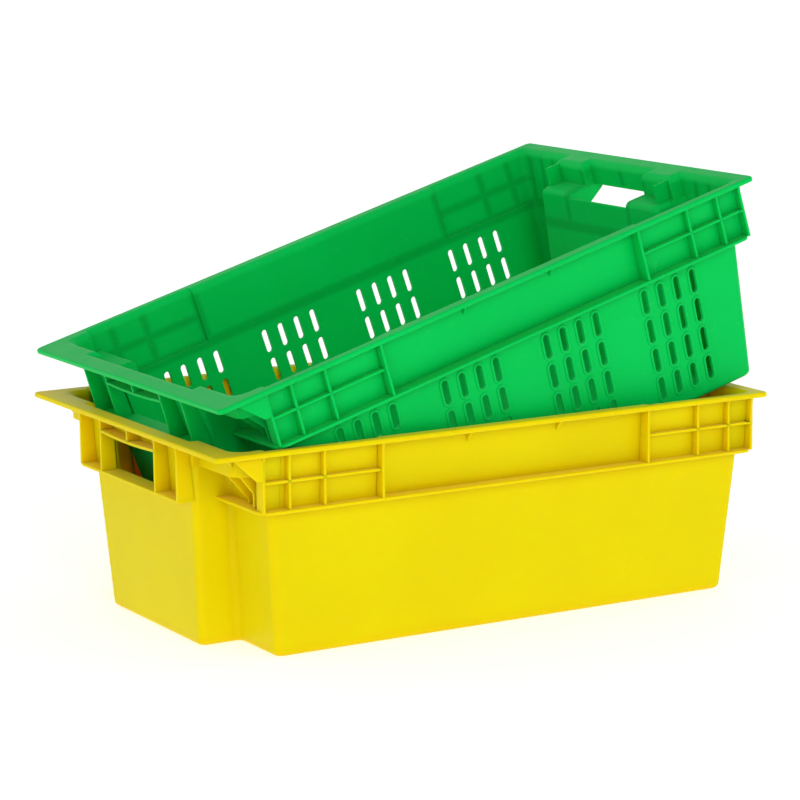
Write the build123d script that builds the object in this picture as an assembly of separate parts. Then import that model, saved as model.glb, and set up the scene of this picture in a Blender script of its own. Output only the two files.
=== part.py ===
"""A nested pair of stack-and-nest plastic crates, 600 x 400 mm footprint.

Each crate is one moulding.  It is written as named zones that meet face to face: floor, walls,
vents, ledge, band, ribs, fins, handle box and rim.  The lower crate stands flat and has solid walls.
The upper crate has vented long walls.  Its handle end is nested in the lower crate, where its ledge
lies over the long sides' rims.  The bottom of its socket end is propped on the lower crate's shelf
guides, so it lies tilted.

Crate frame: millimetres, origin at the middle of the footprint on the ground, +X along the length
from the handle end (-X) to the socket end (+X), +Z up.
"""
from build123d import *
from math import radians, tan
import os

# ---- one crate: outer sizes ------------------------------------------------------------------
length = 600.0
width = 400.0
height = 198.0
rim_corner = 5.0

# ---- shell -----------------------------------------------------------------------------------
wall = 2.6
floor_thick = 3.0
draft = 4.7                      # degrees, on every wall but the bulge's end face
bulge_draft = 3.75
bottom_round = 5.0
corner_round = 6.5
step_round = 1.2                 # where a wall steps from one panel to the next
end_zone_half = 158.0            # the end walls' zones stop this far from the middle
side_half = 168.2                # outer face of the long walls at the ground
bulge_reach = 267.9              # handle end, middle part
bulge_half = 95.4
recess_reach = 227.0             # handle end, set-back corners
corner_reach = 267.2             # socket end, corners
pocket_reach = 231.5             # socket end, set-back middle part
pocket_half = 116.0

# ---- band between ledge and rim ----------------------------------------------------------------
ledge_bottom = 139.5
ledge_thick = 3.0
ledge_top = ledge_bottom + ledge_thick
ledge_half = 196.0
ledge_handle_end = 254.0
ledge_socket_end = 284.0
ledge_pocket = 262.0
ledge_pocket_half = 88.0
ledge_recess_round = 13.0
ledge_pocket_round = 5.0
middle_x = 17.0                  # middle of the rib pattern on the long walls
big_rib_offset = 145.5
inner_rib_offset = 204.6
outer_rib_offset = 240.5
end_plate_offset = 267.0
gusset_offset = 49.0
rib_thick = 2.5
small_rib_front = 193.0
gusset_foot = 172.0
panel_step = 3.5                 # the small panels stand out this far
mid_rib_height = 168.0

# ---- rim ---------------------------------------------------------------------------------------
rim_thick = 2.8
rim_bottom = height - rim_thick
rim_bevel = 6.5                  # the flange's top slopes down to the inside over this width
lip_height = 4.8
lip_bottom = height - lip_height
lip_thick = 2.4
flare_depth = 8.0                # ribs start to flare out this far below the lip
flare_radius = 12.0

# ---- stacking shelves --------------------------------------------------------------------------
shelf_top = 176.0
shelf_bottom = shelf_top - wall
shelf_back_handle_end = 272.0    # outer face of the wall behind the corner shelves
shelf_back_socket_end = 270.0    # outer face of the wall behind the middle shelves
shelf_corner_round = 15.0
shelf_side_step = 6.5            # the corner shelves' side walls stand in this far
shelf_side_end = 248.0
guide_reach = 252.0
guide_top = 195.0
guide_y = 97.0
grip_panel_reach = 281.0         # outer face of the panel over the socket-end handhole
handhole_half = 55.0
sill_height = 170.0

# ---- handle box --------------------------------------------------------------------------------
box_front = 293.5
box_half = 105.7
box_rib_y = 58.5
grip_bottom = 179.8
grip_thick = 2.6
grip_sag = 2.0
hole_round = 6.0
box_corner_round = 4.0
box_root_round = 3.0
box_flare = 4.0                  # the plates' tops run out this far past the box's front

# ---- fins under the rim: y of each, and (x, z) of the free edge from the top down ----------------
outer_corner_fin_y = 193.0
outer_corner_edge = [(-281.0, lip_bottom), (-257.0, 171.0)]
middle_corner_fin_y = 172.0
middle_corner_edge = [(-280.0, lip_bottom), (-250.0, 156.0), (-249.5, ledge_top)]
inner_corner_fin_y = 150.0
inner_corner_edge = [(-268.0, shelf_bottom), (-244.0, 147.0), (-243.0, ledge_top)]
socket_corner_fins_y = (128.0, 150.0, 172.0)
socket_corner_edge = [(297.0, lip_bottom), (283.0, gusset_foot), (283.0, ledge_top)]
socket_side_edge = [(287.0, shelf_bottom), (287.0, 168.0), (256.0, 149.0), (255.0, ledge_top)]
socket_middle_fin = [(276.0, shelf_bottom), (285.0, shelf_bottom), (292.0, lip_bottom), (276.0, lip_bottom)]
socket_shelf_inner_y = 108.0     # the level rib of a socket-end corner starts here

# ---- vents of the upper crate --------------------------------------------------------------------
slot_length = 24.0
slot_width = 6.8
slot_pitch_x = 19.2
slot_pitch_z = 30.3
slot_top_row = 118.0
slot_group_pitch = 115.2
slot_middle_x = 18.0
slots_each_way = 4
slot_groups = 4
vent_start = -200.0              # the vented panel of a long wall, along X and up
vent_end = 236.0
vent_bottom = 10.0
vent_top = 135.0

# ---- how the pair lies ---------------------------------------------------------------------------
tilt = 16.4                      # degrees, socket end up
upper_x = 47.36
upper_z = 135.2

slope = tan(radians(draft))
bulge_slope = tan(radians(bulge_draft))
far = 400.0                      # larger than any crate size, for cutting boxes


def box(x0, x1, y0, y1, z0, z1):
    """A box given by its lowest and highest corners."""
    middle = ((x0 + x1) / 2, (y0 + y1) / 2, (z0 + z1) / 2)
    return Pos(*middle) * Box(x1 - x0, y1 - y0, z1 - z0)


def ring_face(points, z):
    """A closed face at height z; each point is (x, y, corner radius)."""
    corners = [(x, y) for x, y, _ in points]
    radii = [r for _, _, r in points]
    line = FilletPolyline(*corners, radius=radii, close=True)
    return Pos(0, 0, z) * make_face(line)


def mirrored(points):
    """Closed outline from the points with y < 0, in order from -X to +X."""
    return points + [(x, -y, r) for x, y, r in reversed(points)]


def tub_points(z, inset, stepped, upper):
    """Plan outline of the tub at height z, moved in by `inset`.

    `stepped` gives the long sides their raised panels, and `upper` is the part over the shelves.
    """
    grow = z * slope - inset
    side = -(side_half + grow)
    panel = side - panel_step if stepped else side
    bulge, recess = -(bulge_reach + z * bulge_slope - inset), -(recess_reach + grow)
    bulge_y, pocket_y = -(bulge_half + grow), -(pocket_half - grow)
    end, pocket = corner_reach + grow, pocket_reach + grow
    r, small = corner_round, step_round
    if upper:
        recess = -(shelf_back_handle_end - inset)
        pocket = shelf_back_socket_end - inset
    recess_round = small if upper else r
    points = [(bulge, bulge_y, recess_round), (recess, bulge_y, recess_round)]
    if upper:
        shelf_side = panel + shelf_side_step
        points += [(recess, shelf_side, shelf_corner_round)]
        points += [(-shelf_side_end, shelf_side, small), (-shelf_side_end, panel, small)]
    else:
        points += [(recess, panel, r)]
    if stepped:
        left, right = middle_x - big_rib_offset, middle_x + big_rib_offset
        points += [(left, panel, small), (left, side, small)]
        points += [(right, side, small), (right, panel, small)]
    points += [(end, panel, r), (end, pocket_y, recess_round), (pocket, pocket_y, recess_round)]
    if upper:
        panel_x, half = grip_panel_reach - inset, handhole_half - inset
        points += [(pocket, -half, small), (panel_x, -half, small)]
    return mirrored(points)


def tub_block(z0, z1, inset=0.0, stepped=False, upper=False):
    """Solid of the tub outline between two heights, with the draft."""
    low = ring_face(tub_points(z0, inset, stepped, upper), z0)
    high = ring_face(tub_points(z1, inset, stepped, upper), z1)
    return loft([low, high], ruled=True)


def outer_block():
    """Everything inside the outer faces of the tub."""
    low = tub_block(0, ledge_top)
    low = fillet(low.faces().sort_by(Axis.Z)[0].edges(), bottom_round)
    middle = tub_block(ledge_bottom, shelf_top, stepped=True)
    high = tub_block(shelf_bottom, rim_bottom, stepped=True, upper=True)
    return low + middle + high


def inner_block():
    """The space inside the tub, open at the top."""
    low = tub_block(floor_thick, ledge_top, wall)
    middle = tub_block(ledge_top, shelf_top, wall, stepped=True)
    high = tub_block(shelf_top, rim_bottom, wall, stepped=True, upper=True)
    return low + middle + high


def vented_panel():
    """The flat part of the front long wall that holds the vents."""
    low, high = side_half + vent_bottom * slope, side_half + vent_top * slope
    corners = [(-low, vent_bottom), (-high, vent_top), (wall - high, vent_top), (wall - low, vent_bottom)]
    face = Plane.YZ.offset(vent_start) * Polygon(*corners, align=None)
    return extrude(face, vent_end - vent_start, dir=(1, 0, 0)) - slots()


def slots():
    """Cutters for the vents of the front long wall."""
    outline = SlotOverall(slot_length, slot_width, rotation=90)
    pill = Rot(90, 0, 0) * extrude(outline, far, dir=(0, 0, 1))
    middle = (slots_each_way - 1) / 2
    cutters = []
    for group in range(slot_groups):
        group_x = slot_middle_x + (group - (slot_groups - 1) / 2) * slot_group_pitch
        for column in range(slots_each_way):
            x = group_x + (column - middle) * slot_pitch_x
            for row in range(slots_each_way):
                cutters.append(Pos(x, 0, slot_top_row - row * slot_pitch_z) * pill)
    return cutters


def handle_hole():
    """Cutter for the handhole of the handle end: square below, rounded at the top corners."""
    half = box_rib_y - rib_thick / 2
    hole = box(-far, 0, -half, half, ledge_top, grip_bottom)
    top_edges = hole.edges().filter_by(Axis.X).group_by(Axis.Z)[-1]
    return fillet(top_edges, hole_round)


def shell():
    """The thin-walled tub with its handholes."""
    tub = outer_block() - inner_block()
    tub -= handle_hole()
    reach = grip_panel_reach - wall
    half = handhole_half - wall
    tub -= box(pocket_reach, reach, -half, half, sill_height, shelf_top)
    return tub


def ledge_plate():
    """Flat ledge round the tub; it is also the bottom plate of the handle box."""
    points = [
        (-box_front, -box_half, box_corner_round),
        (-ledge_handle_end, -box_half, box_root_round),
        (-ledge_handle_end, -ledge_half, ledge_recess_round),
        (ledge_socket_end, -ledge_half, corner_round),
        (ledge_socket_end, -ledge_pocket_half, ledge_pocket_round),
        (ledge_pocket, -ledge_pocket_half, ledge_pocket_round),
    ]
    return extrude(ring_face(mirrored(points), ledge_bottom), ledge_thick, dir=(0, 0, 1))


def upright_rib(x, front):
    """A rib across the band of the front long wall; its top flares out to the lip."""
    flare = lip_bottom - flare_depth
    flare_tip = ledge_half + 1.0
    with BuildPart() as rib:
        with BuildSketch(Plane.YZ.offset(x - rib_thick / 2)):
            with BuildLine():
                Polyline((-front, flare), (-front, ledge_top), (-side_half, ledge_top))
                Line((-side_half, ledge_top), (-side_half, lip_bottom))
                Line((-side_half, lip_bottom), (-flare_tip, lip_bottom))
                RadiusArc((-flare_tip, lip_bottom), (-front, flare), -flare_radius)
            make_face()
        extrude(amount=rib_thick)
    return rib.part


def front_rib_set():
    """All ribs of the front long wall's band."""
    ribs = []
    for side in (-1, 1):
        plate_x = middle_x + side * end_plate_offset
        big_x = middle_x + side * big_rib_offset
        ribs.append(upright_rib(big_x, ledge_half))
        ribs.append(upright_rib(plate_x, small_rib_front + 1.0))
        for offset in (inner_rib_offset, outer_rib_offset):
            ribs.append(upright_rib(middle_x + side * offset, small_rib_front))
        x0, x1 = sorted((plate_x, big_x))
        z = mid_rib_height
        ribs.append(box(x0, x1, -small_rib_front, -side_half, z - rib_thick / 2, z + rib_thick / 2))
        corners = [(-side_half, lip_bottom), (-ledge_half, lip_bottom), (-side_half, gusset_foot)]
        gusset_x = middle_x + side * gusset_offset - rib_thick / 2
        face = Plane.YZ.offset(gusset_x) * Polygon(*corners, align=None)
        ribs.append(extrude(face, rib_thick, dir=(1, 0, 0)))
    return ribs


def end_fin(y, points):
    """A fin in the XZ plane, centred on y, from its outline."""
    face = Plane.XZ.offset(rib_thick / 2 - y) * Polygon(*points, align=None)
    return extrude(face, rib_thick, dir=(0, 1, 0))


def handle_corner_fins():
    """Fins under the overhanging rim corners of the handle end."""
    inner = -recess_reach
    plate_x = middle_x - end_plate_offset
    foot_z = outer_corner_edge[-1][1]
    outer = outer_corner_edge + [(plate_x, foot_z), (plate_x, lip_bottom)]
    middle = middle_corner_edge + [(inner, ledge_top), (inner, lip_bottom)]
    back = inner_corner_edge + [(inner, ledge_top), (inner, shelf_bottom)]
    half = rib_thick / 2
    fins = []
    for side in (-1, 1):
        fins.append(end_fin(side * outer_corner_fin_y, outer))
        fins.append(end_fin(side * middle_corner_fin_y, middle))
        fins.append(end_fin(side * inner_corner_fin_y, back))
        y0, y1 = sorted((side * (outer_corner_fin_y + half), side * middle_corner_fin_y))
        fins.append(box(plate_x - half, plate_x + half, y0, y1, ledge_top, lip_bottom))
    return fins


def socket_fins():
    """Fins of the socket end: three on each corner, two beside the handhole."""
    edge = socket_corner_edge[-1][0]
    corner = socket_corner_edge + [(corner_reach, ledge_top), (corner_reach, lip_bottom)]
    side_fin = socket_side_edge + [(pocket_reach, ledge_top), (pocket_reach, shelf_bottom)]
    low, high = mid_rib_height - rib_thick / 2, mid_rib_height + rib_thick / 2
    fins = [end_fin(0, socket_middle_fin)]
    for side in (-1, 1):
        fins += [end_fin(side * y, corner) for y in socket_corner_fins_y]
        fins.append(end_fin(side * (handhole_half - wall / 2), side_fin))
        y0, y1 = sorted((side * socket_shelf_inner_y, side * (small_rib_front + 1.0)))
        fins.append(box(corner_reach, edge, y0, y1, low, high))
    return fins


def shelf_guides():
    """Thin plates that stand on the socket-end shelves beside the nesting space."""
    back = shelf_back_socket_end - wall
    outline = [(guide_reach, shelf_top), (back, shelf_top), (back, rim_bottom), (guide_reach, guide_top)]
    return [end_fin(side * guide_y, outline) for side in (-1, 1)]


def handle_box_plates():
    """Side plates, ribs, grip and web of the handle box."""
    wall_x = wall - bulge_reach
    front_edge = [(-box_front - box_flare, lip_bottom), (-box_front, lip_bottom - flare_depth)]
    profile = front_edge + [(-box_front, ledge_top), (wall_x, ledge_top), (wall_x, lip_bottom)]
    plates = []
    for y in (box_half - rib_thick / 2, box_rib_y):
        plates += [end_fin(side * y, profile) for side in (-1, 1)]
    with BuildPart() as grip:
        with BuildSketch(Plane.YZ.offset(-box_front)):
            with BuildLine():
                low, high = grip_bottom, grip_bottom + grip_thick
                ThreePointArc((-box_rib_y, low), (0, low - grip_sag), (box_rib_y, low))
                Line((box_rib_y, low), (box_rib_y, high))
                ThreePointArc((box_rib_y, high), (0, high - grip_sag), (-box_rib_y, high))
                Line((-box_rib_y, high), (-box_rib_y, low))
            make_face()
        extrude(amount=box_front + wall_x)
    plates.append(grip.part)
    web_foot = grip_bottom - 1.0
    web = front_edge + [(-box_front, web_foot), (wall_x, web_foot), (wall_x, lip_bottom)]
    plates.append(end_fin(0, web))
    return plates


def rim_frame():
    """Top flange and the lip that hangs from its edge."""
    outer = RectangleRounded(length, width, rim_corner)
    inside = RectangleRounded(length - 2 * lip_thick, width - 2 * lip_thick, rim_corner - lip_thick)
    flange = extrude(Pos(0, 0, rim_bottom) * outer, rim_thick)
    low = ring_face(tub_points(rim_bottom, wall, stepped=True, upper=True), rim_bottom)
    high = ring_face(tub_points(height, wall - rim_bevel, stepped=True, upper=True), height)
    opening = loft([low, high], ruled=True)
    lip = extrude(Pos(0, 0, lip_bottom) * (outer - inside), lip_height - rim_thick)
    return flange - opening + lip


def fuse(pieces):
    """One shape from a list of overlapping ones."""
    return pieces[0].fuse(*pieces[1:]) if len(pieces) > 1 else pieces[0]


def crate(vented):
    """All zones of one crate, by name, in the crate's own frame."""
    tub = shell()
    solid = outer_block()
    edge = end_zone_half
    floor_zone = box(-far, far, -far, far, -1, floor_thick)
    wall_zone = box(-far, far, -far, far, floor_thick, ledge_top)
    band_zone = box(-far, far, -far, far, ledge_top, height)
    sides = {
        "front": box(-far, far, -far, -edge, 0, height),
        "back": box(-far, far, edge, far, 0, height),
        "handle_end": box(-far, 0, -edge, edge, 0, height),
        "socket_end": box(0, far, -edge, edge, 0, height),
    }

    zones = {"floor": tub & floor_zone}
    for name, side in sides.items():
        zones[name + "_wall"] = tub & (wall_zone & side)
        zones[name + "_band"] = tub & (band_zone & side)
    if vented:
        window = box(vent_start, vent_end, -far, far, vent_bottom, vent_top)
        for name in ("front", "back"):
            zones[name + "_wall"] -= window
        zones["front_vents"] = vented_panel()
        zones["back_vents"] = mirror(zones["front_vents"], about=Plane.XZ)
    zones["ledge"] = ledge_plate() - solid
    ribs = fuse(front_rib_set()) - solid
    zones["front_ribs"] = ribs
    zones["back_ribs"] = mirror(ribs, about=Plane.XZ)
    taken = [ribs, zones["back_ribs"], solid]
    zones["corner_fins"] = fuse(handle_corner_fins()) - taken
    zones["socket_fins"] = fuse(socket_fins()) - taken
    zones["shelf_guides"] = Compound(children=shelf_guides()) - [tub]
    zones["handle_box"] = fuse(handle_box_plates()) - [solid, zones["corner_fins"]]
    zones["rim"] = rim_frame()
    return zones


def main():
    os.makedirs("parts", exist_ok=True)
    lift = Pos(upper_x, 0, upper_z) * Rot(0, -tilt, 0)
    for crate_name, vented, place in (("lower", False, Location()), ("upper", True, lift)):
        for zone, shape in crate(vented).items():
            export_step(place * shape, f"parts/{crate_name}_{zone}.step")


main()
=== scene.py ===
"""Looks of a nested pair of stack-and-nest crates.

Each crate is built here in millimetres in its own frame: origin at the middle of the footprint on the
ground, +X from the handle end to the socket end, +Z up.  The tub, ledge and rim are one closed mesh,
and the ribs and fins are plates that reach into its walls.  finish_piece() scales a piece to metres
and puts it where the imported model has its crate.
"""
import math

import bmesh
import bpy
from mathutils import Matrix, Vector


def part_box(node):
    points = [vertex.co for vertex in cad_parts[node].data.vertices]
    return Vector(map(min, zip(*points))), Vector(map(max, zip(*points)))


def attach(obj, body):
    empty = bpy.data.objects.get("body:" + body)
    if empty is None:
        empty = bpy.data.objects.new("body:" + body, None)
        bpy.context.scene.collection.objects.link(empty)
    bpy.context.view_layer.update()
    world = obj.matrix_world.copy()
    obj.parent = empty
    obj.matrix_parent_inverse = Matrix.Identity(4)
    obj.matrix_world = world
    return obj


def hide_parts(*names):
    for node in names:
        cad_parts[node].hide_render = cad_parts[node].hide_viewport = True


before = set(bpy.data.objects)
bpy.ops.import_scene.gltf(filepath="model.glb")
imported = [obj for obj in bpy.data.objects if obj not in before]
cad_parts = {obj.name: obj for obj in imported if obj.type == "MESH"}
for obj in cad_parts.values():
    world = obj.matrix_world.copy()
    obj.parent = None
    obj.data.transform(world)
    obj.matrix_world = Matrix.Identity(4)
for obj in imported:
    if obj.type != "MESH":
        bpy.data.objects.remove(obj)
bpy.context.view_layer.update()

MM = 0.001
FAR = 450.0                      # beyond the crate on every side, for cutters
OVERLAP = 1.0                    # how far parts that are joined reach into each other
EDGE_ROUND = 0.45                # rounding of the plates' edges
ZONES = ("floor", "front_wall", "back_wall", "handle_end_wall", "socket_end_wall", "front_band",
         "back_band", "handle_end_band", "socket_end_band", "ledge", "rim")

# ---- one crate: outer sizes, mm ------------------------------------------------------------------
LENGTH, WIDTH, HEIGHT = 600.0, 400.0, 198.0
WALL, FLOOR, RIB = 2.6, 3.0, 2.5

# ---- tub: where the outer faces stand on the ground ----------------------------------------------
SLOPE = math.tan(math.radians(4.7))
BULGE_SLOPE = math.tan(math.radians(3.75))
SIDE = 168.2
BULGE, BULGE_HALF, RECESS = 267.9, 95.4, 227.0
CORNER, POCKET, POCKET_HALF = 267.2, 231.5, 116.0
CORNER_ROUND, BOTTOM_ROUND, STEP_ROUND = 6.5, 5.0, 1.2

# ---- ledge ---------------------------------------------------------------------------------------
LEDGE_BOTTOM, LEDGE_TOP, LEDGE_HALF = 139.5, 142.5, 196.0
LEDGE_HANDLE, LEDGE_SOCKET = 254.0, 284.0
LEDGE_POCKET, LEDGE_POCKET_HALF = 262.0, 88.0
LEDGE_HANDLE_ROUND, LEDGE_SOCKET_ROUND, LEDGE_POCKET_ROUND = 13.0, 9.0, 5.0

# ---- ribs of the long sides: distances along X from the middle of their pattern ------------------
MIDDLE_X = 17.0
BIG_RIB, INNER_RIB, OUTER_RIB, END_PLATE, GUSSET = 145.5, 204.6, 240.5, 267.0, 49.0
SMALL_FRONT, MID_RIB_Z, GUSSET_FOOT = 193.0, 168.0, 181.0
PANEL_STEP = 3.5                 # the small panels stand out this far
BIG_RIB_FRONT = LEDGE_HALF - 0.6
SIDE_FLARE = LEDGE_HALF + 1.2    # the plates' tops run out to here, inside the lip
PLATE_LOW, PLATE_HIGH = 181.0, 178.5     # the handle end's plate starts here, under and over the shelf
SOCKET_PLATE = 160.0             # the socket end's plate starts here, inside the wall

# ---- rim -----------------------------------------------------------------------------------------
LIP_BOTTOM, FLANGE_BOTTOM, LIP = 193.2, 195.2, 2.4
RIM_CORNER, RIM_EDGE = 5.0, 1.8
RIM_ROUND = 8.0                  # the flange's inner edge curves down to the wall

# ---- stacking shelves ----------------------------------------------------------------------------
SHELF_TOP, SHELF_BOTTOM, SHELF_ROUND = 176.0, 173.4, 6.0
SHELF_BACK_HANDLE, SHELF_BACK_SOCKET = 272.0, 270.0
SHELF_SIDE_STEP, SHELF_SIDE_END, SHELF_CORNER_ROUND = 6.5, 248.0, 15.0
GUIDE_FRONT, GUIDE_TOP, GUIDE_Y = 252.0, 195.0, 97.0
GRIP_PANEL, HANDHOLE_HALF, SILL = 281.0, 55.0, 170.0
# X and Y spans of the boxes round the shelves' free edges, the same on both sides of the middle.
SHELF_BOXES = (((-268, -228), (108, 182)), ((225, 264), (50, 104.5)))
SHELF_BOX_Z = (150, 190)

# ---- handle box ----------------------------------------------------------------------------------
BOX_FRONT, BOX_HALF, BOX_RIB_Y = 293.5, 105.7, 58.5
BOX_ROUND, BOX_ROOT_ROUND, BOX_FLARE = 4.0, 3.0, 4.0
GRIP_BOTTOM, GRIP_THICK, GRIP_SAG = 179.8, 2.6, 2.0
HOLE_ROUND, HOLE_FOOT_ROUND = 7.0, 0.3

# ---- fins under the rim: y of each, and (x, z) points of the free edges --------------------------
FIN_TOP, PLATE_TOP = LIP_BOTTOM + 1.0, LIP_BOTTOM + 0.8  # inside the lip and the flange
FIN_FOOT = LEDGE_TOP - OVERLAP
SHELF_FOOT = SHELF_BOTTOM + OVERLAP
FLARE_DEPTH = 8.0                # plates start to curve out to the lip this far below it
CORNER_FINS_Y = (193.0, 172.0, 150.0)
OUTER_EDGE = [(-281.0, FIN_TOP), (-257.0, 171.0)]
MIDDLE_HIGH_EDGE = [(-280.0, FIN_TOP)]
MIDDLE_LOW_EDGE = [(-264.6, SHELF_FOOT), (-250.0, 156.0), (-249.5, FIN_FOOT)]
INNER_EDGE = [(-268.0, SHELF_FOOT), (-244.0, 147.0), (-243.0, FIN_FOOT)]
SKIRT_FOOT = 182.5               # bottom of the middle fins' upper part
SOCKET_FINS_Y = (128.0, 150.0, 172.0)
SOCKET_EDGE = [(297.0, FIN_TOP), (283.0, 172.0), (283.0, FIN_FOOT)]
BESIDE_EDGE = [(287.0, SHELF_FOOT), (287.0, 168.0), (256.0, 149.0), (255.0, FIN_FOOT)]
SOCKET_WEB_EDGE = [(285.0, SHELF_BOTTOM), (292.0, FIN_TOP)]
SOCKET_BAR_FRONT, SOCKET_BAR_Y = 283.0, (108.0, 194.0)

# ---- vents of the upper crate --------------------------------------------------------------------
SLOT_LENGTH, SLOT_WIDTH = 24.0, 6.8
SLOT_DX, SLOT_DZ = 19.2, 30.3    # pitches in a group of vents
SLOT_GROUP, SLOT_X, SLOT_TOP = 115.2, 18.0, 118.0
SLOT_GROUPS = SLOT_COLUMNS = SLOT_ROWS = 4
COLLAR = ((-1.0, 2.3), (0.0, 2.3), (0.7, 2.2), (0.9, 1.8))   # (height, width) of a vent's raised rim


def group_middle(group):
    """X of the middle of a group of vents."""
    return SLOT_X + (group - (SLOT_GROUPS - 1) / 2) * SLOT_GROUP


# The long walls are divided into cells with one vent each, which keeps their faces simple.
CELL_X = [group_middle(group) + (line - SLOT_COLUMNS / 2) * SLOT_DX
          for group in range(SLOT_GROUPS) for line in range(SLOT_COLUMNS + 1)]
CELL_Z = [SLOT_TOP + (0.5 - row) * SLOT_DZ for row in range(SLOT_ROWS, -1, -1)]


# ---- mesh helpers --------------------------------------------------------------------------------
def rounded(points):
    """Closed outline with an arc at each (x, y, radius) corner.

    Radius 0 is a point on a straight run.
    """
    line = []
    count = len(points)
    for i, (x, y, r) in enumerate(points):
        if r == 0:
            line.append((x, y))
            continue
        corner = Vector((x, y))
        before = (Vector(points[i - 1][:2]) - corner).normalized()
        after = (Vector(points[(i + 1) % count][:2]) - corner).normalized()
        half = before.angle(after) / 2
        centre = corner + (before + after).normalized() * (r / math.sin(half))
        start = corner + before * (r / math.tan(half)) - centre
        end = corner + after * (r / math.tan(half)) - centre
        a0, a1 = math.atan2(start.y, start.x), math.atan2(end.y, end.x)
        turn = (a1 - a0 + math.pi) % (2 * math.pi) - math.pi
        steps = 3 if r < 1.5 else 6 if r < 3 else 8
        for k in range(steps + 1):
            a = a0 + turn * k / steps
            line.append((centre.x + r * math.cos(a), centre.y + r * math.sin(a)))
    return line


def inset_points(points, inset):
    """The (x, y, radius) corners moved inwards by `inset`."""
    count = len(points)
    area = sum(points[i - 1][0] * points[i][1] - points[i][0] * points[i - 1][1]
               for i in range(count))
    sign = 1 if area > 0 else -1
    moved = []
    for i, (x, y, r) in enumerate(points):
        a = (Vector((x, y)) - Vector(points[i - 1][:2])).normalized()
        b = (Vector(points[(i + 1) % count][:2]) - Vector((x, y))).normalized()
        na, nb = Vector((-a.y, a.x)) * sign, Vector((-b.y, b.x)) * sign
        shift = (na + nb) * (inset / (1 + na.dot(nb)))
        convex = (a.x * b.y - a.y * b.x) * sign > 0
        radius = max(0.3, r - inset if convex else r + inset)
        moved.append((x + shift.x, y + shift.y, radius))
    return moved


def solid(rings):
    """Closed solid from matching closed rings of 3-D points."""
    bm = bmesh.new()
    loops = [[bm.verts.new(p) for p in ring] for ring in rings]
    count = len(loops[0])
    for low, high in zip(loops, loops[1:]):
        for i in range(count):
            bm.faces.new((low[i - 1], low[i], high[i], high[i - 1]))
    bm.faces.new(loops[0])
    bm.faces.new(loops[-1])
    bmesh.ops.recalc_face_normals(bm, faces=bm.faces)
    return bm


def stack(levels):
    """Solid from (z, outline) levels."""
    return solid([[(x, y, z) for x, y in outline] for z, outline in levels])


def prism(axis, outline, low, high):
    """Straight solid from a 2-D outline: (y, z) along "x", (x, z) along "y"."""
    if axis == "x":
        return solid([[(d, a, b) for a, b in outline] for d in (low, high)])
    return solid([[(a, d, b) for a, b in outline] for d in (low, high)])


def soften(bm):
    """Round every edge of a simple plate."""
    bmesh.ops.bevel(bm, geom=list(bm.edges), offset=EDGE_ROUND, segments=2, profile=0.5,
                    affect="EDGES", clamp_overlap=True)
    return bm


def join(parts):
    """One bmesh that holds all the parts."""
    whole = bmesh.new()
    for part in parts:
        mesh = bpy.data.meshes.new("part")
        part.to_mesh(mesh)
        part.free()
        whole.from_mesh(mesh)
        bpy.data.meshes.remove(mesh)
    return whole


def mirrored_y(bm):
    """The bmesh and its mirror image across the XZ plane."""
    twin = bm.copy()
    bmesh.ops.scale(twin, vec=(1, -1, 1), verts=twin.verts)
    bmesh.ops.reverse_faces(twin, faces=twin.faces)
    return join([bm, twin])


def to_object(bm, name):
    """Scene object from a bmesh, which is freed."""
    mesh = bpy.data.meshes.new(name)
    bm.to_mesh(mesh)
    bm.free()
    obj = bpy.data.objects.new(name, mesh)
    bpy.context.scene.collection.objects.link(obj)
    return obj


def combine(base, steps):
    """Booleans in order on a bmesh: each step is (operation, bmesh)."""
    body = to_object(base, "body")
    tools = []
    for operation, bm in steps:
        tool = to_object(bm, "tool")
        mod = body.modifiers.new("cut", "BOOLEAN")
        mod.solver = "MANIFOLD"
        mod.operation = operation
        mod.object = tool
        tools.append(tool)
    graph = bpy.context.evaluated_depsgraph_get()
    graph.update()
    result = bpy.data.meshes.new_from_object(body.evaluated_get(graph))
    bm = bmesh.new()
    bm.from_mesh(result)
    for obj in tools + [body]:
        mesh = obj.data
        bpy.data.objects.remove(obj)
        bpy.data.meshes.remove(mesh)
    bpy.data.meshes.remove(result)
    return bm


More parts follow.
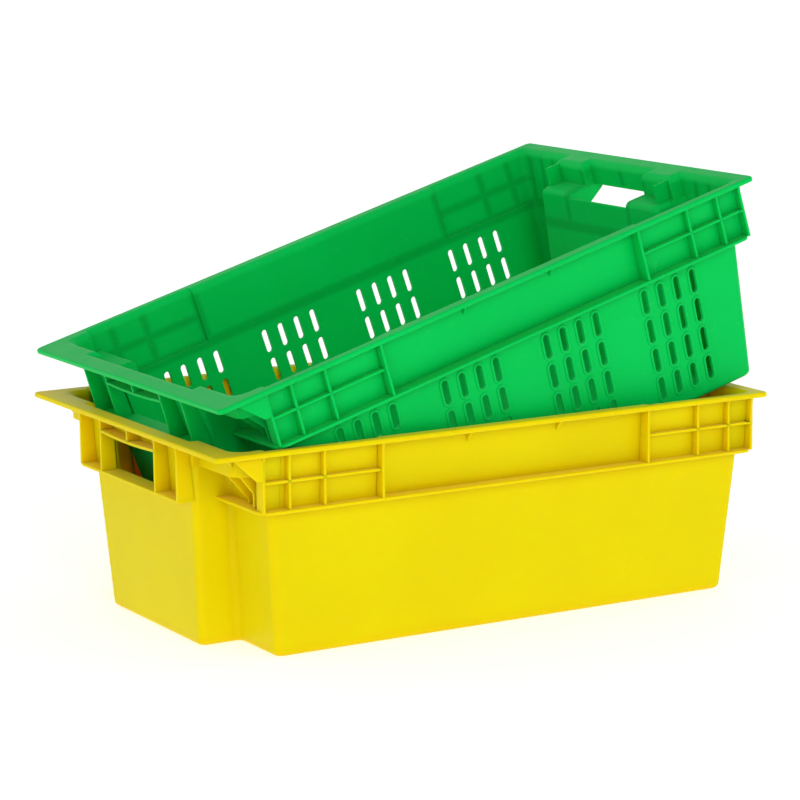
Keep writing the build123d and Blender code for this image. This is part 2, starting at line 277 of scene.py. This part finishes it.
# ---- the tub -------------------------------------------------------------------------------------
def tub_outline(z, inset=0.0, stepped=False, upper=False):
    """Plan outline of the tub at height z, moved in by `inset`.

    It is `stepped` above the ledge, where the small panels stand out, and `upper` above the shelves.
    """
    grow = z * SLOPE - inset
    side = -(SIDE + grow)
    panel = side - PANEL_STEP if stepped else side
    bulge, recess = -(BULGE + z * BULGE_SLOPE - inset), -(RECESS + grow)
    bulge_y, pocket_y = -(BULGE_HALF + grow), -(POCKET_HALF - grow)
    end, pocket = CORNER + grow, POCKET + grow
    turn = STEP_ROUND if upper else CORNER_ROUND
    if upper:
        recess, pocket = -(SHELF_BACK_HANDLE - inset), SHELF_BACK_SOCKET - inset
    points = [(bulge, bulge_y, turn), (recess, bulge_y, turn)]
    if upper:
        shelf_side = panel + SHELF_SIDE_STEP
        points += [(recess, shelf_side, SHELF_CORNER_ROUND)]
        points += [(-SHELF_SIDE_END, shelf_side, STEP_ROUND), (-SHELF_SIDE_END, panel, STEP_ROUND)]
    else:
        points += [(recess, panel, CORNER_ROUND)]
    if stepped:
        left, right = MIDDLE_X - BIG_RIB - RIB / 2, MIDDLE_X + BIG_RIB + RIB / 2
        points += [(left, panel, STEP_ROUND), (left, side, STEP_ROUND)]
        points += [(right, side, STEP_ROUND), (right, panel, STEP_ROUND)]
    else:
        points += [(x, side, 0) for x in CELL_X]
    points += [(end, panel, CORNER_ROUND), (end, pocket_y, turn), (pocket, pocket_y, turn)]
    if upper:
        front, half = GRIP_PANEL - inset, HANDHOLE_HALF - inset
        points += [(pocket, -half, STEP_ROUND), (front, -half, STEP_ROUND)]
    return rounded(points + [(x, -y, r) for x, y, r in reversed(points)])


def tub_levels(heights, **how):
    """Levels of the tub at the heights."""
    return [(z, tub_outline(z, **how)) for z in heights]


def fillet_levels(z0, r, inset):
    """Levels of the rounding between a floor at z0 and the walls."""
    levels = []
    for k in range(7):
        a = math.pi / 2 * k / 6
        z = z0 + r * (1 - math.cos(a))
        levels.append((z, tub_outline(z, inset=inset + r * (1 - math.sin(a)))))
    return levels


def outer_solids():
    """The tub's outside below the ledge, up to the shelves, and up to the rim."""
    low = stack(fillet_levels(0, BOTTOM_ROUND, 0) + tub_levels(CELL_Z + [LEDGE_TOP]))
    middle = stack(tub_levels([LEDGE_BOTTOM + OVERLAP, SHELF_TOP - OVERLAP], stepped=True))
    high = stack(tub_levels([SHELF_BOTTOM, HEIGHT - OVERLAP], stepped=True, upper=True))
    return low, middle, high


def inner_solids():
    """The tub's inside in the same three parts; the last one widens to the rim's top."""
    walls = tub_levels(CELL_Z + [LEDGE_TOP + 0.5], inset=WALL)
    low = stack(fillet_levels(FLOOR, BOTTOM_ROUND - WALL, WALL) + walls)
    middle = stack(tub_levels([LEDGE_TOP, SHELF_TOP + 0.5], inset=WALL, stepped=True))
    levels = tub_levels([SHELF_TOP, HEIGHT - RIM_ROUND], inset=WALL, stepped=True, upper=True)
    for k in range(1, 9):
        a = math.pi / 2 * k / 8
        z = HEIGHT - RIM_ROUND + RIM_ROUND * math.sin(a)
        inset = WALL - RIM_ROUND * (1 - math.cos(a))
        outline = tub_outline(HEIGHT - RIM_ROUND, inset=inset, stepped=True, upper=True)
        levels.append((z, outline))
    levels.append((HEIGHT + 2, levels[-1][1]))
    return low, middle, stack(levels)


def shelf_regions():
    """Boxes round the shelves' edges: the corners of the handle end, the middle of the other."""
    boxes = []
    for (x0, x1), spans in SHELF_BOXES:
        for side in (1, -1):
            y0, y1 = sorted(side * y for y in spans)
            outline = [(x0, y0), (x1, y0), (x1, y1), (x0, y1)]
            boxes.append(stack([(z, outline) for z in SHELF_BOX_Z]))
    return join(boxes)


def shelf_edges():
    """Thick rounded nosing under each shelf's edge, and the cutter that rounds it."""
    pad, cut = [], []
    for k in range(7):
        a = math.pi / 2 * k / 6
        z = SHELF_TOP - SHELF_ROUND * (1 - math.sin(a))
        out = SHELF_ROUND * (1 - math.cos(a))
        pad.append((z - WALL / 2, tub_outline(z - WALL, inset=-out, stepped=True)))
        cut.append((z, tub_outline(z, inset=WALL - out, stepped=True)))
    cut.append((SHELF_TOP + 0.5, cut[-1][1]))
    pad = combine(stack(pad), [("INTERSECT", shelf_regions())])
    return pad, combine(stack(cut), [("INTERSECT", shelf_regions())])


def ledge_plate():
    """Flat ledge round the tub; it is also the bottom plate of the handle box."""
    points = [
        (-BOX_FRONT, -BOX_HALF, BOX_ROUND),
        (-LEDGE_HANDLE, -BOX_HALF, BOX_ROOT_ROUND),
        (-LEDGE_HANDLE, -LEDGE_HALF, LEDGE_HANDLE_ROUND),
        (LEDGE_SOCKET, -LEDGE_HALF, LEDGE_SOCKET_ROUND),
        (LEDGE_SOCKET, -LEDGE_POCKET_HALF, LEDGE_POCKET_ROUND),
        (LEDGE_POCKET, -LEDGE_POCKET_HALF, LEDGE_POCKET_ROUND),
    ]
    points += [(x, -y, r) for x, y, r in reversed(points)]
    levels = []
    for z, inset in ((0, 0.8), (0.3, 0.25), (0.9, 0.0), (2.1, 0.0), (2.7, 0.25), (3.0, 0.8)):
        levels.append((LEDGE_BOTTOM + z, rounded(inset_points(points, inset))))
    return stack(levels)


def rim_outline(inset, r):
    x, y = LENGTH / 2 - inset, WIDTH / 2 - inset
    return rounded([(-x, -y, r), (x, -y, r), (x, y, r), (-x, y, r)])


def rim_plate():
    """Flange with rounded edges and a lip that hangs from its outer edge."""
    levels = [(LIP_BOTTOM + z, rim_outline(inset, RIM_CORNER - inset))
              for z, inset in ((0, 0.9), (0.3, 0.3), (0.9, 0))]
    for k in range(6):
        a = math.pi / 2 * k / 5
        inset = RIM_EDGE * (1 - math.cos(a))
        levels.append((HEIGHT - RIM_EDGE + RIM_EDGE * math.sin(a), rim_outline(inset, RIM_CORNER)))
    plate = stack(levels)
    inside = rim_outline(LIP, RIM_CORNER)
    under = stack([(LIP_BOTTOM - 3, inside), (FLANGE_BOTTOM, inside)])
    return combine(plate, [("DIFFERENCE", under)])


def handle_hole():
    """Cutter for the handhole in the bulge."""
    half = BOX_RIB_Y - RIB / 2
    points = [(-half, LEDGE_TOP, HOLE_FOOT_ROUND), (half, LEDGE_TOP, HOLE_FOOT_ROUND)]
    points += [(half, GRIP_BOTTOM, HOLE_ROUND), (-half, GRIP_BOTTOM, HOLE_ROUND)]
    return prism("x", rounded(points), -FAR, -BULGE + 30)


def socket_hole():
    """Cutter for the handhole of the socket end, which opens downwards behind its panel."""
    half, low, high = HANDHOLE_HALF - WALL, SILL, SHELF_TOP + OVERLAP
    inside, outside = POCKET - 8, GRIP_PANEL - WALL
    return prism("y", [(inside, low), (outside, low), (outside, high), (inside, high)], -half, half)


def slot_centres():
    """(x, z) of every vent in one long wall."""
    for group in range(SLOT_GROUPS):
        for column in range(SLOT_COLUMNS):
            x = group_middle(group) + (column - (SLOT_COLUMNS - 1) / 2) * SLOT_DX
            for row in range(SLOT_ROWS):
                yield x, SLOT_TOP - row * SLOT_DZ


def pill(x, z, grow):
    """Outline of one vent in the XZ plane, grown on all sides."""
    r, half = SLOT_WIDTH / 2 + grow, SLOT_LENGTH / 2 + grow
    corners = [(x - r, z - half), (x + r, z - half), (x + r, z + half), (x - r, z + half)]
    return rounded([(a, b, r * 0.999) for a, b in corners])


def collars():
    """Low raised rims round the vents of the front wall."""
    parts = []
    for x, z in slot_centres():
        rings = []
        for out, grow in COLLAR:
            rings.append([(a, -(SIDE + b * SLOPE) - out, b) for a, b in pill(x, z, grow)])
        parts.append(solid(rings))
    return join(parts)


def moulding(vented):
    """The tub with its ledge and rim, as one closed body."""
    low, middle, high = outer_solids()
    nosing, rounding = shelf_edges()
    steps = [("UNION", part) for part in (middle, high, nosing, ledge_plate(), rim_plate())]
    if vented:
        steps.append(("UNION", mirrored_y(collars())))
    steps += [("DIFFERENCE", part) for part in inner_solids()]
    steps += [("DIFFERENCE", part) for part in (rounding, handle_hole(), socket_hole())]
    if vented:
        cutters = [prism("y", pill(x, z, 0), -FAR, FAR) for x, z in slot_centres()]
        steps.append(("DIFFERENCE", join(cutters)))
    return combine(low, steps)


# ---- ribs and fins -------------------------------------------------------------------------------
def flare(tip, front):
    """Points of a plate's free edge, on the negative side, where it curves out to the lip."""
    edge = []
    for k in range(7):
        a = math.pi / 2 * k / 6
        out = tip - (tip - front) * math.sin(a)
        edge.append((-out, PLATE_TOP - FLARE_DEPTH * (1 - math.cos(a))))
    return edge


def root(reach, z, slope=SLOPE):
    """Middle of a wall's thickness at height z; its outer face stands at `reach` on the ground."""
    return reach + z * slope - WALL / 2


def side_plate(x, line):
    """Plate across the front's band, centred on x, from its outline."""
    return soften(prism("x", line, x - RIB / 2, x + RIB / 2))


def side_rib(x, front, reach):
    """Upright between the ledge and the lip, from its front edge to the wall."""
    line = flare(SIDE_FLARE, front) + [(-front, FIN_FOOT)]
    line += [(-root(reach, z), z) for z in (FIN_FOOT, PLATE_TOP)]
    return side_plate(x, line)


def end_cell_wall(reach, x0, x1):
    """Wall that carries the band on to the end plate, past the tub's round corner."""
    line = [(-(reach + z * SLOPE), z) for z in (FIN_FOOT, PLATE_TOP)]
    line += [(-root(reach, z), z) for z in (PLATE_TOP, FIN_FOOT)]
    return prism("x", line, x0, x1)


def side_ribs():
    """Uprights, level bars, gussets and end plates of the front."""
    parts = []
    panel = SIDE + PANEL_STEP
    for side in (-1, 1):
        plate, big = MIDDLE_X + side * END_PLATE, MIDDLE_X + side * BIG_RIB
        parts.append(side_rib(big, BIG_RIB_FRONT, SIDE))
        for offset in (INNER_RIB, OUTER_RIB):
            parts.append(side_rib(MIDDLE_X + side * offset, SMALL_FRONT, panel))
        x0, x1 = sorted((plate, big))
        z0, z1 = MID_RIB_Z - RIB / 2, MID_RIB_Z + RIB / 2
        bar_root = -root(panel, MID_RIB_Z)
        bar_front = 0.2 - SMALL_FRONT
        bar = [(bar_front, z0), (bar_root, z0), (bar_root, z1), (bar_front, z1)]
        parts.append(soften(prism("x", bar, x0, x1)))
        gusset_root = -root(SIDE, 185.0)     # inside the wall over the gusset's whole height
        gusset = [(gusset_root, FIN_TOP), (-LEDGE_HALF + 2, FIN_TOP), (gusset_root, GUSSET_FOOT)]
        parts.append(side_plate(MIDDLE_X + side * GUSSET, gusset))
        x0, x1 = sorted((plate, MIDDLE_X + side * (OUTER_RIB + 6)))
        parts.append(end_cell_wall(panel + 0.05, x0, x1))
    front = SMALL_FRONT + 1
    line = flare(SIDE_FLARE, front) + [(-front, FIN_FOOT)]
    handle_plate = line + [(-PLATE_LOW, FIN_FOOT), (-PLATE_LOW, SHELF_FOOT)]
    handle_plate += [(-PLATE_HIGH, SHELF_FOOT), (-PLATE_HIGH, PLATE_TOP)]
    socket_plate = line + [(-SOCKET_PLATE, FIN_FOOT), (-SOCKET_PLATE, PLATE_TOP)]
    parts.append(side_plate(MIDDLE_X - END_PLATE, handle_plate))
    parts.append(side_plate(MIDDLE_X + END_PLATE, socket_plate))
    return join(parts)


def fin(y, line):
    """Plate in the XZ plane, centred on y, from its outline."""
    return soften(prism("y", line, y - RIB / 2, y + RIB / 2))


def corner_fins():
    """Fins under the overhanging rim corners of the handle end."""
    plate_x, skirt = MIDDLE_X - END_PLATE, WALL / 2 - SHELF_BACK_HANDLE
    inside = [(-root(RECESS, z), z) for z in (FIN_FOOT, SHELF_FOOT)]
    outer = OUTER_EDGE + [(plate_x, OUTER_EDGE[-1][1]), (plate_x, FIN_TOP)]
    middle_high = MIDDLE_HIGH_EDGE + [(skirt, SKIRT_FOOT), (skirt, FIN_TOP)]
    outer_y, middle_y, inner_y = CORNER_FINS_Y
    parts = []
    for side in (-1, 1):
        parts.append(fin(side * outer_y, outer))
        parts.append(fin(side * middle_y, middle_high))
        parts.append(fin(side * middle_y, MIDDLE_LOW_EDGE + inside))
        parts.append(fin(side * inner_y, INNER_EDGE + inside))
    return join(parts)


def socket_fins():
    """Fins and level bars of the socket end's corners, and the fins of its handhole's panel."""
    corner = SOCKET_EDGE + [(root(CORNER, z), z) for z in (FIN_FOOT, FIN_TOP)]
    beside = BESIDE_EDGE + [(root(POCKET, z), z) for z in (FIN_FOOT, SHELF_FOOT)]
    panel_root, bar_root = GRIP_PANEL - WALL / 2, root(CORNER, MID_RIB_Z)
    web = [(panel_root, SHELF_BOTTOM)] + SOCKET_WEB_EDGE + [(panel_root, FIN_TOP)]
    parts = [fin(0, web)]
    for side in (-1, 1):
        parts += [fin(side * y, corner) for y in SOCKET_FINS_Y]
        parts.append(fin(side * (HANDHOLE_HALF - WALL / 2), beside))
        y0, y1 = sorted(side * y for y in SOCKET_BAR_Y)
        z0, z1 = MID_RIB_Z - RIB / 2, MID_RIB_Z + RIB / 2
        line = [(bar_root, z0), (SOCKET_BAR_FRONT, z0), (SOCKET_BAR_FRONT, z1), (bar_root, z1)]
        parts.append(soften(prism("y", line, y0, y1)))
    return join(parts)


def shelf_guides():
    """Thin plates that stand on the socket end's shelves."""
    back, foot = SHELF_BACK_SOCKET - WALL / 2, SHELF_TOP - OVERLAP
    line = [(GUIDE_FRONT, foot), (back, foot), (back, FLANGE_BOTTOM), (GUIDE_FRONT, GUIDE_TOP)]
    return join([fin(side * GUIDE_Y, line) for side in (-1, 1)])


def handle_box():
    """Side plates, ribs, web and sagging grip of the handle box."""
    front = BOX_FRONT - 0.3
    low_root, high_root, grip_root = (-root(BULGE, z, BULGE_SLOPE)
                                      for z in (FIN_FOOT, PLATE_TOP, GRIP_BOTTOM))
    line = flare(BOX_FRONT + BOX_FLARE, front)
    plate = line + [(-front, FIN_FOOT), (low_root, FIN_FOOT), (high_root, PLATE_TOP)]
    web = line + [(-front, GRIP_BOTTOM), (grip_root, GRIP_BOTTOM), (high_root, PLATE_TOP)]
    parts = [fin(0, web)]
    for side in (-1, 1):
        parts += [fin(side * (BOX_HALF - RIB / 2), plate), fin(side * BOX_RIB_Y, plate)]
    spots = [BOX_RIB_Y * k / 12 for k in range(-12, 13)]
    under = [(y, GRIP_BOTTOM - GRIP_SAG * (1 - (y / BOX_RIB_Y) ** 2)) for y in spots]
    grip = under + [(y, z + GRIP_THICK) for y, z in reversed(under)]
    parts.append(prism("x", grip, -BOX_FRONT + 0.2, grip_root))
    return join(parts)


# ---- materials -----------------------------------------------------------------------------------
MIX_FACTOR, MIX_A, MIX_B, MIX_RESULT = 0, 6, 7, 2   # sockets of a colour Mix node

# How the shadows of ribs, fins and ledge fade with the distance from them: (full, none), mm.
RIB_SHADE, FIN_SHADE, WEB_SHADE, LEDGE_SHADE = (0.5, 7.0), (0.5, 6.0), (1.5, 5.0), (2.0, 8.0)
RIM_FADE = (188.0, 195.0)        # heights over which the shadows of the band end
TUB_END, TUB_SIDE = (277.0, 279.0), (182.0, 184.0)  # just outside the tub's walls, where the ledge starts


class Tree:
    """A node tree with short forms for the nodes used here; most give the node's output."""

    def __init__(self, tree):
        self.nodes, self.links = tree.nodes, tree.links
        self.coords = self.new("ShaderNodeTexCoord")

    def new(self, kind, **settings):
        node = self.nodes.new(kind)
        for name, value in settings.items():
            setattr(node, name, value)
        return node

    def feed(self, socket, value):
        """Link an output to the socket, or set the socket to a number or colour."""
        if isinstance(value, bpy.types.NodeSocket):
            self.links.new(value, socket)
        else:
            socket.default_value = value

    def calc(self, operation, a, b=0.0):
        node = self.new("ShaderNodeMath", operation=operation)
        self.feed(node.inputs[0], a)
        self.feed(node.inputs[1], b)
        return node.outputs[0]

    def remap(self, value, old, new, interpolation):
        """The value taken from the interval `old` to the interval `new`, held at the ends."""
        node = self.new("ShaderNodeMapRange", interpolation_type=interpolation)
        names = ("Value", "From Min", "From Max", "To Min", "To Max")
        for name, given in zip(names, (value, *old, *new)):
            self.feed(node.inputs[name], given)
        return node.outputs[0]

    def fall(self, value, full, none):
        """1 while the value is under `full`, 0 from `none` on."""
        return self.remap(value, (full, none), (1.0, 0.0), "SMOOTHSTEP")

    def noise(self, scale, detail, rough=0.5):
        node = self.new("ShaderNodeTexNoise")
        for name, value in (("Scale", scale), ("Detail", detail), ("Roughness", rough)):
            self.feed(node.inputs[name], value)
        self.feed(node.inputs["Vector"], self.coords.outputs["Object"])
        return node.outputs["Fac"]

    def ramp(self, source, *stops):
        """Colour ramp over two (position, colour) stops."""
        node = self.new("ShaderNodeValToRGB")
        for element, (at, colour) in zip(node.color_ramp.elements, stops):
            element.position = at
            element.color = (*colour, 1)
        self.feed(node.inputs["Fac"], source)
        return node.outputs["Color"]

    def mix(self, factor, a, b, blend="MIX"):
        node = self.new("ShaderNodeMix", data_type="RGBA", blend_type=blend)
        for socket, value in ((MIX_FACTOR, factor), (MIX_A, a), (MIX_B, b)):
            self.feed(node.inputs[socket], value)
        return node.outputs[MIX_RESULT]

    def bump(self, height, strength, distance, normal):
        node = self.new("ShaderNodeBump")
        for name, value in (("Strength", strength), ("Distance", distance), ("Height", height),
                            ("Normal", normal)):
            self.feed(node.inputs[name], value)
        return node.outputs[0]


def rib_shadows(tree):
    """Mask of the bands that show dark through the thin walls, where ribs, fins and ledge join them.

    It works on the "mould" attribute, each point's place in the crate's own frame in millimetres,
    which only the moulding has.
    """
    calc, fall = tree.calc, tree.fall

    def above(value, edge):
        return calc("GREATER_THAN", value, edge)

    def near(value, *places):
        """How far the value is from the closest of the places."""
        gaps = [calc("ABSOLUTE", calc("SUBTRACT", value, place)) for place in places]
        closest = gaps[0]
        for gap in gaps[1:]:
            closest = calc("MINIMUM", closest, gap)
        return closest

    def where(*masks):
        """Product of the masks."""
        product = masks[0]
        for mask in masks[1:]:
            product = calc("MULTIPLY", product, mask)
        return product

    place = tree.new("ShaderNodeAttribute", attribute_name="mould")
    split = tree.new("ShaderNodeSeparateXYZ")
    tree.feed(split.inputs[0], place.outputs["Vector"])
    x, y, z = split.outputs
    along, across = near(x, MIDDLE_X), near(y, 0.0)
    band = where(above(z, LEDGE_TOP), fall(z, *RIM_FADE))
    long_wall = where(above(across, SIDE), fall(along, END_PLATE - 6, END_PLATE - 4))
    uprights = fall(near(along, BIG_RIB, INNER_RIB, OUTER_RIB), *RIB_SHADE)
    bars = where(fall(near(z, MID_RIB_Z), *RIB_SHADE), above(along, BIG_RIB))
    ribs = where(calc("MAXIMUM", uprights, bars), band, long_wall)
    fins = fall(near(across, HANDHOLE_HALF, *SOCKET_FINS_Y), *FIN_SHADE)
    fins = where(fins, band, above(x, POCKET))
    web = where(fall(across, *WEB_SHADE), above(x, GRIP_PANEL - 6), band, above(z, SHELF_TOP))
    tub = where(above(x, -RECESS - 8), fall(x, *TUB_END), fall(across, *TUB_SIDE))
    ledge = where(fall(near(z, (LEDGE_BOTTOM + LEDGE_TOP) / 2), *LEDGE_SHADE), tub)
    mask = ribs
    for other in (fins, web, ledge):
        mask = calc("MAXIMUM", mask, other)
    return mask


def grey(level):
    return level, level, level


def linear(*srgb):
    """Linear colour from 8-bit sRGB values."""
    levels = (value / 255 for value in srgb)
    return tuple(c / 12.92 if c <= 0.04045 else ((c + 0.055) / 1.055) ** 2.4 for c in levels)


def plastic(name, base, deep, glow, painted_shade_tint, through):
    """Slightly translucent moulded polyethylene: faint mottling, fine grain, light scuffs and painted
    shade.

    The colour drifts between `base` and `deep`.  `painted_shade_tint` is the colour of the painted shade:
    the colour is multiplied towards it where a rib stands behind the wall, and in the creases.  `through`
    is how much light the plastic lets through, and `glow` how far it goes in red, green and blue.
    """
    mat = bpy.data.materials.new(name)
    mat.use_nodes = True
    tree = Tree(mat.node_tree)

    mottled = tree.ramp(tree.noise(9.0, 3.0), (0.35, deep), (0.65, base))
    # Painted shade: ambient occlusion darkens the colour in creases and corners.
    corners = tree.new("ShaderNodeAmbientOcclusion", samples=4)
    corners.inputs["Distance"].default_value = 0.014
    painted_crease_shade = tree.ramp(corners.outputs["AO"], (0.35, grey(0.85)), (0.9, grey(0.0)))
    # Painted shade: the rib shadows and the crease shade multiply the colour towards the painted shade
    # tint.
    shade = tree.calc("MAXIMUM", rib_shadows(tree), painted_crease_shade)
    shaded = tree.mix(shade, mottled, (*painted_shade_tint, 1), "MULTIPLY")
    scuffs = tree.ramp(tree.noise(160.0, 5.0, 0.7), (0.60, grey(0.0)), (0.78, grey(1.0)))
    pale = (*(0.75 * c + 0.25 for c in base), 1)
    colour = tree.mix(tree.calc("MULTIPLY", scuffs, 0.10), shaded, pale)

    rough = tree.ramp(tree.noise(22.0, 4.0), (0.3, grey(0.34)), (0.7, grey(0.46)))

    edges = tree.new("ShaderNodeBevel", samples=4)
    edges.inputs["Radius"].default_value = 0.0009
    waves = tree.bump(tree.noise(35.0, 2.0), 0.12, 0.002, edges.outputs[0])
    grain = tree.bump(tree.noise(900.0, 3.0, 0.6), 0.08, 0.0003, waves)

    shader = tree.nodes["Principled BSDF"]
    for socket, value in (
        ("Base Color", colour),
        ("Roughness", rough),
        ("Normal", grain),
        ("Subsurface Weight", through),
        ("Subsurface Radius", glow),
        ("Subsurface Scale", 0.005),
        ("Specular IOR Level", 0.05),
        ("Sheen Weight", 0.15),
        ("Sheen Roughness", 0.25),
    ):
        tree.feed(shader.inputs[socket], value)
    return mat


# ---- the two crates ------------------------------------------------------------------------------
MERGE = 0.02                     # mm, points this close become one
SHARP = math.radians(32)         # edges over this angle stay sharp


def upper_place():
    """Where the upper crate lies, worked out from the boxes of the two rims."""
    low, high = (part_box(node) for node in ("lower_rim", "upper_rim"))
    length, thick = low[1][0] - low[0][0], low[1][2] - low[0][2]
    wide, tall = high[1][0] - high[0][0], high[1][2] - high[0][2]
    tilt = math.asin((length * tall - thick * wide) / (length ** 2 - thick ** 2))
    turn = Matrix.Rotation(-tilt, 4, "Y")
    middle_low = (Vector(low[0]) + Vector(low[1])) / 2
    middle_high = (Vector(high[0]) + Vector(high[1])) / 2
    return Matrix.Translation(middle_high - turn @ middle_low) @ turn


def finish_piece(bm, name, crate, mat, nodes, place):
    """Make a piece an object of its crate, in metres at `place`, instead of the CAD `nodes`."""
    bmesh.ops.remove_doubles(bm, verts=bm.verts, dist=MERGE)
    if name == "moulding":
        mould = bm.verts.layers.float_vector.new("mould")
        for vert in bm.verts:
            vert[mould] = vert.co
    bmesh.ops.scale(bm, vec=(MM, MM, MM), verts=bm.verts)
    bmesh.ops.transform(bm, matrix=place, verts=bm.verts)
    obj = to_object(bm, f"{crate}_{name}")
    for poly in obj.data.polygons:
        poly.use_smooth = True
    obj.data.set_sharp_from_angle(angle=SHARP)
    weighted = obj.modifiers.new("normals", "WEIGHTED_NORMAL")
    weighted.keep_sharp = True
    obj.data.materials.append(mat)
    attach(obj, f"{crate}_crate")
    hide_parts(*[f"{crate}_{node}" for node in nodes])


yellow = plastic("yellow_polyethylene", base=linear(235, 215, 0), deep=linear(231, 210, 0),
                 glow=(1.0, 0.6, 0.06), painted_shade_tint=(0.91, 0.81, 0.56), through=0.65)
green = plastic("green_polyethylene", base=linear(0, 202, 89), deep=linear(0, 196, 85),
                glow=(0.1, 1.0, 0.35), painted_shade_tint=(0.73, 0.79, 0.71), through=0.3)
upper = upper_place()
for crate, mat, place in (("lower", yellow, Matrix.Identity(4)), ("upper", green, upper)):
    vented = crate == "upper"
    zones = ZONES + (("front_vents", "back_vents") if vented else ())
    finish_piece(moulding(vented), "moulding", crate, mat, zones, place)
    finish_piece(mirrored_y(side_ribs()), "side_ribs", crate, mat, ("front_ribs", "back_ribs"), place)
    for name, build in (("corner_fins", corner_fins), ("socket_fins", socket_fins),
                        ("shelf_guides", shelf_guides), ("handle_box", handle_box)):
        finish_piece(build(), name + "_plates", crate, mat, (name,), place)

# ---- floor, light and camera ---------------------------------------------------------------------
bm = bmesh.new()
bmesh.ops.create_grid(bm, x_segments=8, y_segments=8, size=40.0)
floor = to_object(bm, "floor")
floor.location.z = -0.0005
floor_mat = bpy.data.materials.new("pale_floor")
floor_mat.use_nodes = True
floor_shader = floor_mat.node_tree.nodes["Principled BSDF"]
for socket, value in (
    ("Base Color", (0.80, 0.80, 0.80, 1)),
    ("Roughness", 0.8),
    ("Specular IOR Level", 0.1),
    ("Emission Color", (1, 1, 1, 1)),
    ("Emission Strength", 0.56),
):
    floor_shader.inputs[socket].default_value = value
floor.data.materials.append(floor_mat)

# The sky is brightest at the horizon and dims towards the zenith.
world = bpy.data.worlds.new("studio")
bpy.context.scene.world = world
world.use_nodes = True
sky = Tree(world.node_tree)
split = sky.new("ShaderNodeSeparateXYZ")
sky.feed(split.inputs[0], sky.coords.outputs["Generated"])
background = sky.nodes["Background"]
strength = sky.remap(split.outputs["Z"], (0.15, 0.9), (0.85, 0.45), "LINEAR")
sky.feed(background.inputs["Strength"], strength)
sky.feed(background.inputs["Color"], (1, 1, 1, 1))

KEY_SPOT, KEY_TARGET = Vector((-1.3, -4.3, 2.2)), Vector((0.05, 0.0, 0.15))
key = bpy.data.lights.new("key", "AREA")
key.shape = "DISK"
key.size = 1.8
key.energy = 50
light = bpy.data.objects.new("key", key)
light.location = KEY_SPOT
light.rotation_euler = (KEY_TARGET - KEY_SPOT).to_track_quat("-Z", "Y").to_euler()
bpy.context.scene.collection.objects.link(light)

AZIMUTH, ELEVATION, ROLL = (math.radians(angle) for angle in (-29.985, 10.355, -0.6485))
DISTANCE, TARGET = 3.2694, Vector((0.11034, 0.18777, 0.150))
LENS, SENSOR = 140.193, 36.0
flat = math.cos(ELEVATION)
back = Vector((math.sin(AZIMUTH) * flat, -math.cos(AZIMUTH) * flat, math.sin(ELEVATION)))
camera_data = bpy.data.cameras.new("camera")
camera_data.sensor_width = SENSOR
camera_data.lens = LENS
camera = bpy.data.objects.new("camera", camera_data)
bpy.context.scene.collection.objects.link(camera)
turn = back.to_track_quat("Z", "Y").to_matrix().to_4x4() @ Matrix.Rotation(ROLL, 4, "Z")
camera.matrix_world = Matrix.Translation(TARGET + back * DISTANCE) @ turn
bpy.context.scene.camera = camera
bpy.context.scene.view_settings.view_transform = "Standard"
